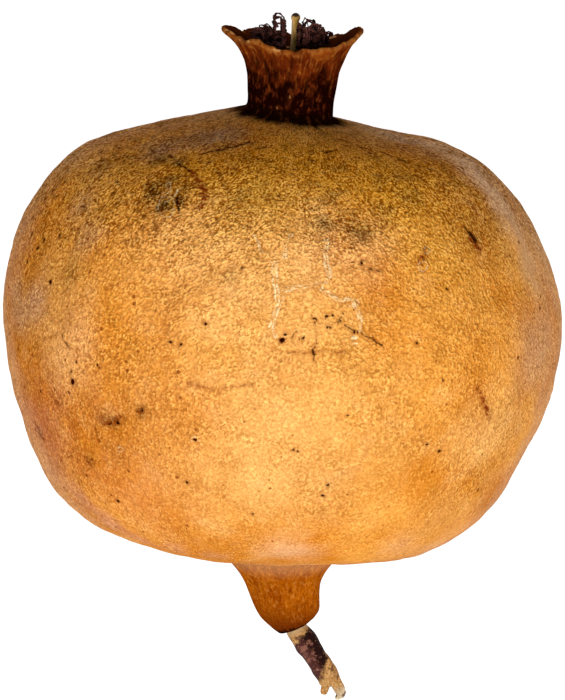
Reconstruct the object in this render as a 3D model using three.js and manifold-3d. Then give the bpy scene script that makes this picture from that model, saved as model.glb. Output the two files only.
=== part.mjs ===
// A whole pomegranate lying on its side, crown towards +Y and stalk towards -Y, with its crown end
// raised a little. Millimetres, +Z up. The origin is the centre of the small flat spot it rests on.
//
// Each piece is made upright, in the fruit's own frame: +z runs up the axis from the stalk to the
// crown, x is across, and +y is the side that ends up underneath. One group then lays them down.

import * as THREE from "three";
import { mergeVertices } from "three/addons/utils/BufferGeometryUtils.js";
import Module from "manifold-3d";

const wasm = await Module();
wasm.setup();

const TURN = 2 * Math.PI;
const Y_AXIS = new THREE.Vector3(0, 1, 0);
const { degToRad, radToDeg, smoothstep, lerp, clamp, euclideanModulo } = THREE.MathUtils;

// ---------------------------------------------------------------- driving dimensions

// How it lies
const CROWN_RAISED = degToRad(11.5);
const CENTRE_ABOVE_SURFACE = 42.25;
const SPOT_FROM_CENTRE = -1.2;

// Body: heights are along the axis, from the fruit's middle
const HALF_WIDTH = 43.35;
const DEPTH_LOSS = 1.2;
const WIDEST_HEIGHT = 3.3;
const WIDEST_DROP_BEHIND = 6.0;
const SHOULDER_HEIGHT = 33.9;
const SHOULDER_TILT = 1.1;
const SHOULDER_FULLNESS = 2.42;
const SHOULDER_FULLER_LEFT = 0.17;
const BASE_HEIGHT = -34.5;
const BASE_TILT = 0.35;
const BASE_FULLNESS = 2.65;
const BASE_FULLER_LEFT = 0.13;
const LOBES = 5;
const LOBE_DEPTH = 0.45;
const BELT_SWELL = 0.7;
const BELT_MIDDLE = 0.5;
const BELT_SPACING = 31;
const DOME_RISE = 2.3;
const DOME_RADIUS = 11;
// Soft swellings and hollows: the side they are on and their latitude, in degrees, and their rise
const SWELLINGS = [
  { around: 0, latitude: 45, rise: 1.5 },
  { around: 0, latitude: 32, rise: 0.5 },
  { around: 0, latitude: -16, rise: 0.35 },
  { around: 0, latitude: -43, rise: 1.1 },
  { around: 0, latitude: -55, rise: 1.7 },
  { around: 180, latitude: 42, rise: 0.4 },
  { around: 180, latitude: 17, rise: 0.65 },
  { around: 180, latitude: -4, rise: -0.42 },
];
const SWELLING_SPREAD = 9;
const SWELLING_FADE_RADIUS = 12;

// Crown: the calyx tube and its six sepals
const WAIST_RADIUS = 6.75;
const WAIST_FILLET = 1.0;
const TUBE_LENGTH = 10.2;
const TUBE_FLARE = degToRad(42);
const FLARE_GROWTH = 1.6;
const WALL_AT_WAIST = 1.6;
const WALL_AT_RIM = 0.9;
const RIM_ROUNDING = 0.35;
const CUP_FLOOR = 34.9;
const CUP_ROUNDING = 0.8;
const CROWN_SHIFT = 1.15;
const CROWN_LEAN = 0.06;
// around: degrees from +x towards +y; long: how far the sepal stands past the tube; wide: its
// half-width in degrees; sharp: its outline, pointed where large; curl: how many degrees it bends
// outwards; curlFrom: where along the calyx wall that starts
const SEPALS = [
  { around: 2, long: 3.9, wide: 54, sharp: 1.1, curl: 5, curlFrom: 0.7 },
  { around: 64, long: 1.6, wide: 26, sharp: 0.9, curl: 55, curlFrom: 0.7 },
  { around: 121, long: 1.9, wide: 29, sharp: 0.9, curl: 60, curlFrom: 0.7 },
  { around: 181, long: 2.5, wide: 30, sharp: 0.7, curl: 15, curlFrom: 0.1 },
  { around: 229, long: 1.1, wide: 24, sharp: 0.6, curl: 6, curlFrom: 0.7 },
  { around: 303, long: 1.2, wide: 32, sharp: 0.7, curl: 4, curlFrom: 0.7 },
];

// Neck: radius, height and slant in degrees of its rings, from its end up to the body
const NECK_OUTLINE = [
  [2.6, -47.3, 21],
  [3.05, -46.9, 16],
  [3.65, -46.25, 10],
  [4.5, -45.25, 5],
  [5.05, -44.15, 1],
  [5.35, -42.8, 0],
  [5.6, -41.4, 0],
  [6.0, -39.9, 0],
  [6.9, -38.2, 0],
  [8.2, -36.5, 0],
];
const NECK_TOP_RADIUS = 10.5;
const NECK_SHIFT = 1.9;
const NECK_BEND = 3;
const SOCKET_RADIUS = 2.0;
const SOCKET_DEPTH = 2.2;
const SOCKET_OFFSET = 0.2;
const GAP = 0.3;

// Stalk: the middle line's x, y and height, and its radius there
const STALK_LINE = [
  [1.45, 0, -45.45, 1.55],
  [2.1, 0, -47.22, 1.65],
  [2.65, 0, -48.3, 1.75],
  [3.95, -0.1, -50.0, 1.9],
  [5.2, -0.2, -52.0, 1.65],
  [6.5, -0.1, -54.0, 1.8],
  [7.5, 0.1, -56.1, 1.75],
];
const SHORT_PRONG = [
  [7.0, 0.0, -55.0, 1.0],
  [7.0, -0.2, -56.8, 0.8],
  [6.7, -0.4, -58.1, 0.4],
];
const LONG_PRONG = [
  [7.6, 0.1, -55.0, 1.2],
  [8.7, 0.3, -56.9, 1.0],
  [9.3, 0.5, -58.2, 0.8],
  [8.9, 0.7, -59.3, 0.4],
];

// Stamens: curly filaments that stand in a ring-shaped bed on the floor of the cup
const BED_INNER_RADIUS = 1.5;
const BED_OUTER_RADIUS = 4.4;
const BED_HEIGHT = 1.5;
const STAMEN_COUNT = 40;
const STAMEN_SEED = 11;
const STAMEN_SCATTER = [-0.3, 0.3];
const STAMEN_RADIUS = 0.38;
const ANTHER_RADIUS = 0.55;
const STAMEN_ROOT_RADII = [2.5, 3.7];
const STAMEN_RISE = [10.3, 13.5];
const STAMEN_LEAN = [0, 15];
const HOOK_LENGTH = [2.8, 5.4];
const HOOK_RADIUS = [0.85, 1.4];
const FREE_RADIUS = 6.6;

// Style: the column in the middle of the cup
const STYLE_RADIUS = 0.6;
const STYLE_TOP = 51.1;
const STIGMA_FLARE = 1.15;
const STIGMA_LENGTH = 1.6;

// Mesh fineness
const COLUMNS = 64;
const BODY_ROWS = 26;
const FILLET_ROWS = 3;
const WALL_ROWS = 7;
const STRIDES_A_ROW = 6;
const SOCKET_SIDES = 16;
const STALK_SIDES = 10;
const STALK_STEPS = 12;
const PRONG_SIDES = 6;
const PRONG_STEPS = 4;
const STAMEN_SIDES = 3;
const RISE_STEPS = 3;
const HOOK_STEPS = 6;
const STYLE_SIDES = 8;
const BED_SIDES = 24;

// Lays the upright pieces down
const upright = new THREE.Group();
upright.rotation.x = CROWN_RAISED - Math.PI / 2;
upright.position.set(0, -SPOT_FROM_CENTRE, CENTRE_ABOVE_SURFACE);
upright.updateMatrix();

// ---------------------------------------------------------------- mesh helpers

function random(seed) {
  let state = seed;
  return (low, high) => {
    state = (state * 1664525 + 1013904223) % 4294967296;
    return low + ((high - low) * state) / 4294967296;
  };
}

// A closed skin over rings that all have the same number of points, each counterclockwise seen
// from the next one's side. The first and the last ring are closed by a point in their middle.
function skin(rings) {
  const columns = rings[0].length;
  const positions = [];
  const index = [];
  rings.flat().forEach((point) => positions.push(point.x, point.y, point.z));
  for (let row = 0; row + 1 < rings.length; row += 1) {
    for (let column = 0; column < columns; column += 1) {
      const next = (column + 1) % columns;
      const low = row * columns;
      const high = low + columns;
      index.push(low + column, low + next, high + next);
      index.push(low + column, high + next, high + column);
    }
  }
  const middle = (ring) =>
    ring.reduce((sum, point) => sum.add(point), new THREE.Vector3()).divideScalar(columns);
  const first = middle(rings[0]);
  const last = middle(rings[rings.length - 1]);
  positions.push(first.x, first.y, first.z, last.x, last.y, last.z);
  const firstIndex = rings.length * columns;
  const top = firstIndex - columns;
  for (let column = 0; column < columns; column += 1) {
    const next = (column + 1) % columns;
    index.push(firstIndex, next, column);
    index.push(firstIndex + 1, top + column, top + next);
  }
  const geometry = new THREE.BufferGeometry();
  geometry.setAttribute("position", new THREE.Float32BufferAttribute(positions, 3));
  geometry.setIndex(index);
  return geometry;
}

// A closed tube through a line of points, with a radius of its own at each.
function taperedTube(line, radii, sides) {
  const normal = new THREE.Vector3(0, 1, 0);
  const rings = line.map((centre, at) => {
    const before = line[Math.max(at - 1, 0)];
    const after = line[Math.min(at + 1, line.length - 1)];
    const heading = after.clone().sub(before).normalize();
    normal.addScaledVector(heading, -normal.dot(heading)).normalize();
    const sideways = heading.clone().cross(normal);
    const ring = [];
    for (let side = 0; side < sides; side += 1) {
      const angle = (TURN * side) / sides;
      const point = centre.clone();
      point.addScaledVector(normal, radii[at] * Math.cos(angle));
      point.addScaledVector(sideways, radii[at] * Math.sin(angle));
      ring.push(point);
    }
    return ring;
  });
  return skin(rings);
}

function toSolid(geometry) {
  const bare = geometry.clone();
  bare.deleteAttribute("normal");
  bare.deleteAttribute("uv");
  const merged = mergeVertices(bare, 1e-4);
  const mesh = new wasm.Mesh({
    numProp: 3,
    vertProperties: Float32Array.from(merged.attributes.position.array),
    triVerts: Uint32Array.from(merged.index.array),
  });
  return new wasm.Manifold(mesh);
}

function toGeometry(solid) {
  const mesh = solid.getMesh();
  const geometry = new THREE.BufferGeometry();
  const positions = Float32Array.from(mesh.vertProperties);
  geometry.setAttribute("position", new THREE.BufferAttribute(positions, 3));
  geometry.setIndex(new THREE.BufferAttribute(Uint32Array.from(mesh.triVerts), 1));
  geometry.computeVertexNormals();
  return geometry;
}

// ---------------------------------------------------------------- fruit

// How far the middle of the fruit's outline lies towards +x at a height.
function axisShift(height) {
  if (height > 0) {
    const lean = CROWN_LEAN * Math.max(0, height - SHOULDER_HEIGHT);
    return (CROWN_SHIFT + lean) * smoothstep(height, SHOULDER_HEIGHT - 6, SHOULDER_HEIGHT + 1);
  }
  const down = Math.max(0, BASE_HEIGHT - height) / (BASE_HEIGHT - NECK_OUTLINE[0][1]);
  return NECK_SHIFT * down ** NECK_BEND;
}

// How far the swellings push the body's skin outwards at a point of its outline.
function swellingAt(radius, height, around) {
  const latitude = radToDeg(Math.atan2(height, radius));
  let rise = 0;
  SWELLINGS.forEach((swelling) => {
    const facing = Math.cos(around - degToRad(swelling.around));
    const offset = (latitude - swelling.latitude) / SWELLING_SPREAD;
    rise += swelling.rise * Math.max(0, facing) ** 2 * Math.exp(-(offset ** 2));
  });
  return rise * Math.min(1, radius / SWELLING_FADE_RADIUS);
}

// The body's radius and height in the direction around, where angle runs from -90 to 90 degrees.
function bodyPoint(angle, around) {
  const side = Math.cos(around);
  const behind = (1 + Math.sin(around)) / 2;
  const widest = WIDEST_HEIGHT - WIDEST_DROP_BEHIND * behind * Math.sin(around) ** 2;
  const upper = angle > 0;
  const fullness = upper
    ? SHOULDER_FULLNESS - SHOULDER_FULLER_LEFT * side
    : BASE_FULLNESS - BASE_FULLER_LEFT * side;
  const reach = upper
    ? SHOULDER_HEIGHT - SHOULDER_TILT * side - widest
    : widest - BASE_HEIGHT + BASE_TILT * side;
  const out = Math.cos(angle) ** (2 / fullness);
  const up = Math.sign(angle) * Math.abs(Math.sin(angle)) ** (2 / fullness);
  const girth = HALF_WIDTH - DEPTH_LOSS * Math.sin(around) ** 2;
  const lobes = LOBE_DEPTH * Math.sin(LOBES * around);
  const height = widest + reach * up;
  const belt = BELT_SWELL * Math.cos((TURN * (height - BELT_MIDDLE)) / BELT_SPACING);
  const radius = (girth + lobes + belt) * out;
  const swelling = swellingAt(radius, height, around) / Math.hypot(radius, height);
  const dome = upper ? DOME_RISE * Math.exp(-((radius / DOME_RADIUS) ** 2)) : 0;
  return [radius * (1 + swelling), height * (1 + swelling) + dome];
}

// The angle at which the body's outline has come in to a radius, on one side of its widest part.
function angleAtRadius(radius, around, sign) {
  let near = 0;
  let far = Math.PI / 2;
  for (let halving = 0; halving < 30; halving += 1) {
    const middle = (near + far) / 2;
    if (bodyPoint(sign * middle, around)[0] > radius) {
      near = middle;
    } else {
      far = middle;
    }
  }
  return sign * near;
}

// Each sepal's share, from 0 to 1, in the calyx wall in the direction around.
function sepalShares(around) {
  return SEPALS.map((sepal) => {
    const turn = radToDeg(around) - sepal.around;
    const away = Math.abs(euclideanModulo(turn + 180, 360) - 180) / sepal.wide;
    return away < 1 ? Math.cos((away * Math.PI) / 2) ** sepal.sharp : 0;
  });
}

// The calyx wall seen in section: up its outside from the waist, over the rim, down its inside.
function wallOutline(around, waistHeight) {
  const shares = sepalShares(around);
  const length = shares.reduce((sum, share, at) => sum + share * SEPALS[at].long, TUBE_LENGTH);
  const bendAt = (along) => {
    const curls = shares.map(
      (share, at) => share * SEPALS[at].curl * smoothstep(along, SEPALS[at].curlFrom, 1),
    );
    const curl = curls.reduce((sum, one) => sum + one, 0);
    return TUBE_FLARE * along ** FLARE_GROWTH + degToRad(curl);
  };
  const outside = [];
  const inside = [];
  const steps = WALL_ROWS * STRIDES_A_ROW;
  let radius = WAIST_RADIUS;
  let height = waistHeight;
  for (let step = 0; step <= steps; step += 1) {
    const along = step / steps;
    const bend = bendAt(along);
    if (step % STRIDES_A_ROW === 0) {
      const wall = lerp(WALL_AT_WAIST, WALL_AT_RIM, along);
      outside.push([radius, height]);
      inside.push([radius - wall * Math.cos(bend), height + wall * Math.sin(bend)]);
    }
    radius += (length / steps) * Math.sin(bend);
    height += (length / steps) * Math.cos(bend);
  }
  const [outerRadius, outerHeight] = outside[WALL_ROWS];
  const [innerRadius, innerHeight] = inside[WALL_ROWS];
  const crest = WALL_AT_RIM * RIM_ROUNDING;
  const rim = [
    (outerRadius + innerRadius) / 2 + crest * Math.sin(bendAt(1)),
    (outerHeight + innerHeight) / 2 + crest * Math.cos(bendAt(1)),
  ];
  return [...outside, rim, ...inside.reverse()];
}

// The fruit's whole outline in the direction around, from the neck's end to the cup's floor.
function fruitOutline(around) {
  const outline = [...NECK_OUTLINE];
  const lowest = angleAtRadius(NECK_TOP_RADIUS, around, -1);
  const highest = angleAtRadius(WAIST_RADIUS + WAIST_FILLET, around, 1);
  for (let row = 0; row <= BODY_ROWS; row += 1) {
    const angle = lerp(lowest, highest, row / BODY_ROWS);
    outline.push(bodyPoint(angle, around));
  }
  const top = outline[outline.length - 1][1];
  for (let row = 1; row < FILLET_ROWS; row += 1) {
    const turn = (Math.PI / 2) * (row / FILLET_ROWS);
    const radius = WAIST_RADIUS + WAIST_FILLET * (1 - Math.sin(turn));
    outline.push([radius, top + WAIST_FILLET * (1 - Math.cos(turn))]);
  }
  outline.push(...wallOutline(around, top + WAIST_FILLET));
  const inner = WAIST_RADIUS - WALL_AT_WAIST;
  outline.push([inner - CUP_ROUNDING / 2, CUP_FLOOR + CUP_ROUNDING / 2]);
  outline.push([inner - 1.5 * CUP_ROUNDING, CUP_FLOOR]);
  return outline;
}

function makeFruit() {
  const outlines = [];
  for (let column = 0; column < COLUMNS; column += 1) {
    outlines.push(fruitOutline((TURN * column) / COLUMNS));
  }
  const rings = outlines[0].map((_, row) =>
    outlines.map((outline, column) => {
      const around = (TURN * column) / COLUMNS;
      const [radius, height, slant = 0] = outline[row];
      const x = radius * Math.cos(around);
      const point = new THREE.Vector3(x, radius * Math.sin(around), 0);
      point.applyAxisAngle(Y_AXIS, -degToRad(slant));
      return point.add(new THREE.Vector3(axisShift(height), 0, height));
    }),
  );
  const bore = 2 * SOCKET_DEPTH;
  const socket = new THREE.CylinderGeometry(SOCKET_RADIUS, SOCKET_RADIUS, bore, SOCKET_SIDES);
  socket.rotateX(Math.PI / 2);
  socket.translate(SOCKET_OFFSET, 0, 0);
  const [, neckEnd, neckSlant] = NECK_OUTLINE[0];
  socket.rotateY(-degToRad(neckSlant));
  socket.translate(axisShift(neckEnd), 0, neckEnd);
  const under = new THREE.BoxGeometry(2 * HALF_WIDTH, 2 * HALF_WIDTH, HALF_WIDTH);
  under.translate(0, 0, -HALF_WIDTH / 2);
  under.applyMatrix4(upright.matrix.clone().invert());
  return toGeometry(toSolid(skin(rings)).subtract(toSolid(socket)).subtract(toSolid(under)));
}

// ---------------------------------------------------------------- stalk

// A tube from a list of [x, y, height, radius], smoothed.
function smoothTube(list, sides, steps) {
  const places = new THREE.CatmullRomCurve3(list.map(([x, y, z]) => new THREE.Vector3(x, y, z)));
  const sizes = new THREE.SplineCurve(list.map((entry) => new THREE.Vector2(entry[3], 0)));
  const radii = sizes.getPoints(steps).map((size) => size.x);
  return toSolid(taperedTube(places.getPoints(steps), radii, sides));
}

function makeStem() {
  const shaft = smoothTube(STALK_LINE, STALK_SIDES, STALK_STEPS);
  const short = smoothTube(SHORT_PRONG, PRONG_SIDES, PRONG_STEPS);
  const long = smoothTube(LONG_PRONG, PRONG_SIDES, PRONG_STEPS);
  return toGeometry(shaft.add(short).add(long));
}

// ---------------------------------------------------------------- stamens and style

function onAxis(around, radius, height) {
  const x = axisShift(height) + radius * Math.cos(around);
  return new THREE.Vector3(x, radius * Math.sin(around), height);
}

// The radius of the calyx's inside at a height, in the direction around.
function roomAt(around, height) {
  const waistHeight = CUP_FLOOR + BED_HEIGHT;
  const inside = wallOutline(around, waistHeight).slice(-WALL_ROWS - 1);
  const past = inside.find(([, at]) => at < height);
  return past && height < inside[0][1] ? past[0] : FREE_RADIUS;
}

// Keeps a filament's point clear of the calyx wall and of the style.
function keptClear(point) {
  const x = point.x - axisShift(point.z);
  const around = Math.atan2(point.y, x);
  const room = Math.min(roomAt(around, point.z), FREE_RADIUS + STAMEN_RADIUS + GAP);
  const least = STIGMA_FLARE * STYLE_RADIUS + GAP + ANTHER_RADIUS;
  const radius = clamp(Math.hypot(x, point.y), least, room - STAMEN_RADIUS - GAP);
  return onAxis(around, radius, point.z);
}

// One filament's line: up from its root, then over in a hook towards a side of its own.
function stamenLine(number, pick) {
  const around = (TURN * (number + pick(...STAMEN_SCATTER))) / STAMEN_COUNT;
  const rise = pick(...STAMEN_RISE);
  const hook = pick(...HOOK_LENGTH);
  const hookTurn = 1 / pick(...HOOK_RADIUS);
  const hookSide = pick(0, TURN);
  const lean = degToRad(pick(...STAMEN_LEAN));
  const point = onAxis(around, pick(...STAMEN_ROOT_RADII), CUP_FLOOR + GAP + 0.5 * BED_HEIGHT);
  const heading = new THREE.Vector3(
    Math.sin(lean) * Math.cos(around),
    Math.sin(lean) * Math.sin(around),
    Math.cos(lean),
  );
  const hookAxis = new THREE.Vector3(Math.cos(hookSide), Math.sin(hookSide), 0);
  const line = [point.clone()];
  for (let step = 0; step < RISE_STEPS; step += 1) {
    point.addScaledVector(heading, rise / RISE_STEPS);
    line.push(keptClear(point));
  }
  for (let step = 0; step < HOOK_STEPS; step += 1) {
    heading.applyAxisAngle(hookAxis, (hook * hookTurn) / HOOK_STEPS);
    point.addScaledVector(heading, hook / HOOK_STEPS);
    line.push(keptClear(point));
  }
  return line;
}

function makeStamens() {
  const floor = CUP_FLOOR + GAP;
  const section = [
    [BED_INNER_RADIUS, floor],
    [BED_OUTER_RADIUS - 0.9, floor],
    [BED_OUTER_RADIUS, floor + 0.6 * BED_HEIGHT],
    [BED_OUTER_RADIUS - 0.5, floor + BED_HEIGHT],
    [BED_INNER_RADIUS, floor + 0.7 * BED_HEIGHT],
    [BED_INNER_RADIUS, floor],
  ];
  const bed = new THREE.LatheGeometry(section.map((at) => new THREE.Vector2(...at)), BED_SIDES);
  bed.rotateX(Math.PI / 2);
  bed.translate(axisShift(floor), 0, 0);
  const pick = random(STAMEN_SEED);
  let bunch = toSolid(bed);
  for (let number = 0; number < STAMEN_COUNT; number += 1) {
    const line = stamenLine(number, pick);
    const radii = line.map((_, at) => (at < line.length - 2 ? STAMEN_RADIUS : ANTHER_RADIUS));
    bunch = bunch.add(toSolid(taperedTube(line, radii, STAMEN_SIDES)));
  }
  return toGeometry(bunch);
}

function makeStyle() {
  const foot = CUP_FLOOR + GAP;
  const stigma = STYLE_TOP - STIGMA_LENGTH;
  const heights = [foot, (foot + stigma) / 2, stigma, stigma + 0.5, STYLE_TOP - 0.5, STYLE_TOP];
  const radii = [1.2, 1, 1, STIGMA_FLARE, STIGMA_FLARE, 0.8].map((share) => share * STYLE_RADIUS);
  return taperedTube(heights.map((height) => onAxis(0, 0, height)), radii, STYLE_SIDES);
}

// ---------------------------------------------------------------- assembly

function piece(name, geometry, color, roughness) {
  const material = new THREE.MeshStandardMaterial({ color, roughness, metalness: 0 });
  const mesh = new THREE.Mesh(geometry, material);
  mesh.name = name;
  return mesh;
}

upright.add(piece("fruit", makeFruit(), 0xd9944a, 0.5));
upright.add(piece("stem", makeStem(), 0xb08a5e, 0.8));
upright.add(piece("stamens", makeStamens(), 0x5a3d26, 0.8));
upright.add(piece("style", makeStyle(), 0xb59a62, 0.7));

const pomegranate = new THREE.Group();
pomegranate.name = "pomegranate";
pomegranate.add(upright);

export default pomegranate;
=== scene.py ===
from math import atan2, cos, hypot, pi, radians, sin

import bpy
import numpy as np
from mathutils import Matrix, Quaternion, Vector, noise
from mathutils.bvhtree import BVHTree
from numpy.linalg import norm


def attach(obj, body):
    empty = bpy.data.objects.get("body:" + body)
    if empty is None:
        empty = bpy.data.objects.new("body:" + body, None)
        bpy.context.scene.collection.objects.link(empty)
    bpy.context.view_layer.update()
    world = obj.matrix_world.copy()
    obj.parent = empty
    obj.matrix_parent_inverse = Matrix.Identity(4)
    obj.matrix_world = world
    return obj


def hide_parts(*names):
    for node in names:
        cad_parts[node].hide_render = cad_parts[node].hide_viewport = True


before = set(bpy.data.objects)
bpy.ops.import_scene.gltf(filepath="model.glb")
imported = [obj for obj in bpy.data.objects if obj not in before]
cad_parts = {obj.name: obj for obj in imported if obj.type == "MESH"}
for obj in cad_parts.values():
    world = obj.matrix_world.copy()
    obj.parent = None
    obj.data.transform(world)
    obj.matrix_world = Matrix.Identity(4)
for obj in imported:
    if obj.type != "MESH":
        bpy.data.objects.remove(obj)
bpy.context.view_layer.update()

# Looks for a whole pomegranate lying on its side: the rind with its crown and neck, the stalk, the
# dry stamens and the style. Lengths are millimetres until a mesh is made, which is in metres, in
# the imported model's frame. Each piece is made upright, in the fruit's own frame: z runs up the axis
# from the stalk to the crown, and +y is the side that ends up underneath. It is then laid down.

MM = 0.001
TURN = 2 * pi

# ---- driving dimensions

# How it lies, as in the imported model
CROWN_RAISED = radians(11.5)
CENTRE_ABOVE_SURFACE = 42.25
SPOT_FROM_CENTRE = -1.2

# Body
HALF_WIDTH = 43.35
DEPTH_LOSS = 1.2
WIDEST_HEIGHT = 3.3
WIDEST_DROP_BEHIND = 6
SHOULDER_HEIGHT = 33.9
SHOULDER_TILT = 1.1
SHOULDER_FULLNESS = 2.42
SHOULDER_FULLER_LEFT = 0.17
BASE_HEIGHT = -34.5
BASE_TILT = 0.35
BASE_FULLNESS = 2.65
BASE_FULLER_LEFT = 0.13
LOBES = 5
LOBE_DEPTH = 0.45
BELT_SWELL = 0.7
BELT_MIDDLE = 0.5
BELT_SPACING = 31
DOME_RISE = 2.3
DOME_RADIUS = 11
# Soft swellings and hollows: side and latitude in degrees, and rise
SWELLINGS = [
    (0, 45, 1.5), (0, 32, 0.5), (0, -16, 0.35), (0, -43, 1.1), (0, -55, 1.7), (180, 42, 0.4),
    (180, 17, 0.65), (180, -4, -0.42),
]
SWELLING_SPREAD = 9
SWELLING_FADE_RADIUS = 12

# Crown
WAIST_RADIUS = 6.75
WAIST_FILLET = 1
TUBE_LENGTH = 10.2
TUBE_FLARE = radians(42)
FLARE_GROWTH = 1.6
WALL_AT_WAIST = 1.6
WALL_AT_RIM = 0.9
RIM_ROUNDING = 0.35
RIM_SHARES = (0.2, 0.5, 0.8)
CUP_FLOOR = 34.9
CUP_ROUNDING = 0.8
CROWN_SHIFT = 1.15
CROWN_LEAN = 0.06
# Sepals: direction in degrees, length past the tube, half-width in degrees, sharpness of outline,
# degrees of outward curl, and where along the calyx wall the curl starts
SEPALS = [
    (2, 3.9, 54, 1.1, 5, 0.7), (64, 1.6, 26, 0.9, 55, 0.7), (121, 1.9, 29, 0.9, 60, 0.7),
    (181, 2.5, 30, 0.7, 15, 0.1), (229, 1.1, 24, 0.6, 6, 0.7), (303, 1.2, 32, 0.7, 4, 0.7),
]

# Neck: radius, height and slant in degrees of its rings, from its end up to the body
NECK_OUTLINE = [
    (2.6, -47.3, 21), (3.05, -46.9, 16), (3.65, -46.25, 10), (4.5, -45.25, 5), (5.05, -44.15, 1),
    (5.35, -42.8, 0), (5.6, -41.4, 0), (6, -39.9, 0), (6.9, -38.2, 0), (8.2, -36.5, 0),
]
NECK_TOP_RADIUS = 10.5
NECK_SHIFT = 1.9
NECK_BEND = 3
# Socket in its end, from its floor to its mouth: radius and depth
SOCKET_OUTLINE = [(0.7, 2.2), (1.9, 2.2), (2.0, 2.1), (2.0, 0.7), (2.0, 0.15), (2.1, 0.0)]
SOCKET_OFFSET = 0.2
GAP = 0.3

# Stalk: the middle line's x, y and height, and its radius there
STALK_LINE = [
    (1.45, 0, -45.45, 1.55), (2.1, 0, -47.22, 1.65), (2.65, 0, -48.3, 1.75), (3.95, -0.1, -50, 1.9),
    (5.2, -0.2, -52, 1.65), (6.5, -0.1, -54, 1.8), (7.5, 0.1, -56.1, 1.75),
]
SHORT_PRONG = [(7, 0, -55, 1), (7, -0.2, -56.8, 0.8), (6.7, -0.4, -58.1, 0.4)]
LONG_PRONG = [
    (7.6, 0.1, -55, 1.2), (8.7, 0.3, -56.9, 1), (9.3, 0.5, -58.2, 0.8), (8.9, 0.7, -59.3, 0.4),
]
# The tubes that it is fused from: line, steps along it, sides
STALK_TUBES = [(STALK_LINE, 90, 40), (SHORT_PRONG, 30, 20), (LONG_PRONG, 40, 20)]
STALK_RIGHT_HAND = (0.87, 0, 0.5)

# Stamens and style
BED_INNER_RADIUS = 1.5
BED_OUTER_RADIUS = 4.4
BED_HEIGHT = 1.5
STAMEN_COUNT = 40
STAMEN_SEED = 11
STAMEN_SCATTER = (-0.3, 0.3)
STAMEN_RADIUS = 0.38
STAMEN_ROOT_RADII = (2.5, 3.7)
STAMEN_RISE = (10.3, 13.5)
STAMEN_LEAN = (0, 15)
HOOK_LENGTH = (2.8, 5.4)
HOOK_RADIUS = (0.85, 1.4)
FREE_RADIUS = 6.6
# Gaps in the bunch: from and to, across from the style, and the height where they have opened
PARTINGS = [(-1.75, 0.65, 45.0), (-3.8, -3.2, 47.5)]
STRANDS_A_STAMEN = 3
CRUMBS_A_STRAND = 4
RISE_STEPS = 10
HOOK_STEPS = 9
STYLE_RADIUS = 0.6
STYLE_TOP = 51.1
STIGMA_FLARE = 1.15
STIGMA_LENGTH = 1.6

# The circles that the grain and the fibres are laid out on, and how much the grain is drawn out
GRAIN_RADIUS = 36
GRAIN_STRETCH = 0.85
FIBRE_RADIUS = 7

# Fineness
COLUMNS = 430
NECK_ROWS = 30
BODY_ROWS = 122
FILLET_ROWS = 5
WALL_STEPS = 28
STEM_FINENESS = 0.13
STEM_SEARCH_STEPS = 200
CUP_DIRECTIONS = 72
BED_STEPS = 20
STYLE_STEPS = 60
STYLE_SIDES = 24
HALVINGS = 30

# Camera: where the body's middle and the picture's middle are, and how large a pixel is there
PICTURE = (565, 700)
PIXEL_AT_CENTRE = 0.1574
CAMERA_DISTANCE = 900
CAMERA_X = 0.0787
CAMERA_Y = -1.161
SENSOR = 36
CLIP = (0.05, 20)

# Studio, in metres and watts
KEY_PLACE = (0.02, -0.3, 0.88)
KEY_SIZE = 0.3
KEY_POWER = 8
KEY_COLOUR = (1, 0.98, 0.95)
SURROUNDINGS = 0.36
FLOOR_REACH = 3
FLOOR_DROP = 0.0002
FLOOR_GREY = 0.2
FLOOR_GLOW = 0.96

# ---- small helpers


def ease(x, low, high):
    """From 0 to 1, smoothly, while x goes from low to high."""
    t = np.clip((x - low) / (high - low), 0, 1)
    return t * t * (3 - 2 * t)


def laid_down(points):
    """Upright points in millimetres, turned and lifted to where the fruit lies, in metres."""
    x, y, z = np.moveaxis(np.asarray(points, float), -1, 0)
    across, raised = sin(CROWN_RAISED), cos(CROWN_RAISED)
    far = y * across + z * raised - SPOT_FROM_CENTRE
    up = -y * raised + z * across + CENTRE_ABOVE_SURFACE
    return np.stack([x, far, up], -1) * MM


def lumps(points, spacing, depth):
    """A soft random push for each point, about spacing apart and depth deep."""
    flat = points.reshape(-1, 3) / spacing
    values = [noise.noise(Vector(p)) for p in flat]
    return depth * np.array(values).reshape(points.shape[:-1])


def grid_normals(points):
    """Outward unit normals of a grid of rows and closed columns."""
    down = np.gradient(points, axis=0)
    around = np.roll(points, -1, 1) - np.roll(points, 1, 1)
    normal = np.cross(around, down)
    return normal / np.maximum(norm(normal, axis=-1, keepdims=True), 1e-9)


def through(points, steps):
    """A smooth Catmull-Rom line through the points, as an array with steps + 1 rows."""
    p = np.asarray(points, float)
    p = np.vstack([2 * p[0] - p[1], p, 2 * p[-1] - p[-2]])
    at = np.linspace(0, len(p) - 3, steps + 1)
    i = np.minimum(at.astype(int), len(p) - 4)
    t = (at - i)[:, None]
    a, b, c, d = p[i], p[i + 1], p[i + 2], p[i + 3]
    return 0.5 * (
        2 * b + (c - a) * t + (2 * a - 5 * b + 4 * c - d) * t**2 + (3 * b - a - 3 * c + d) * t**3
    )


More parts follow.
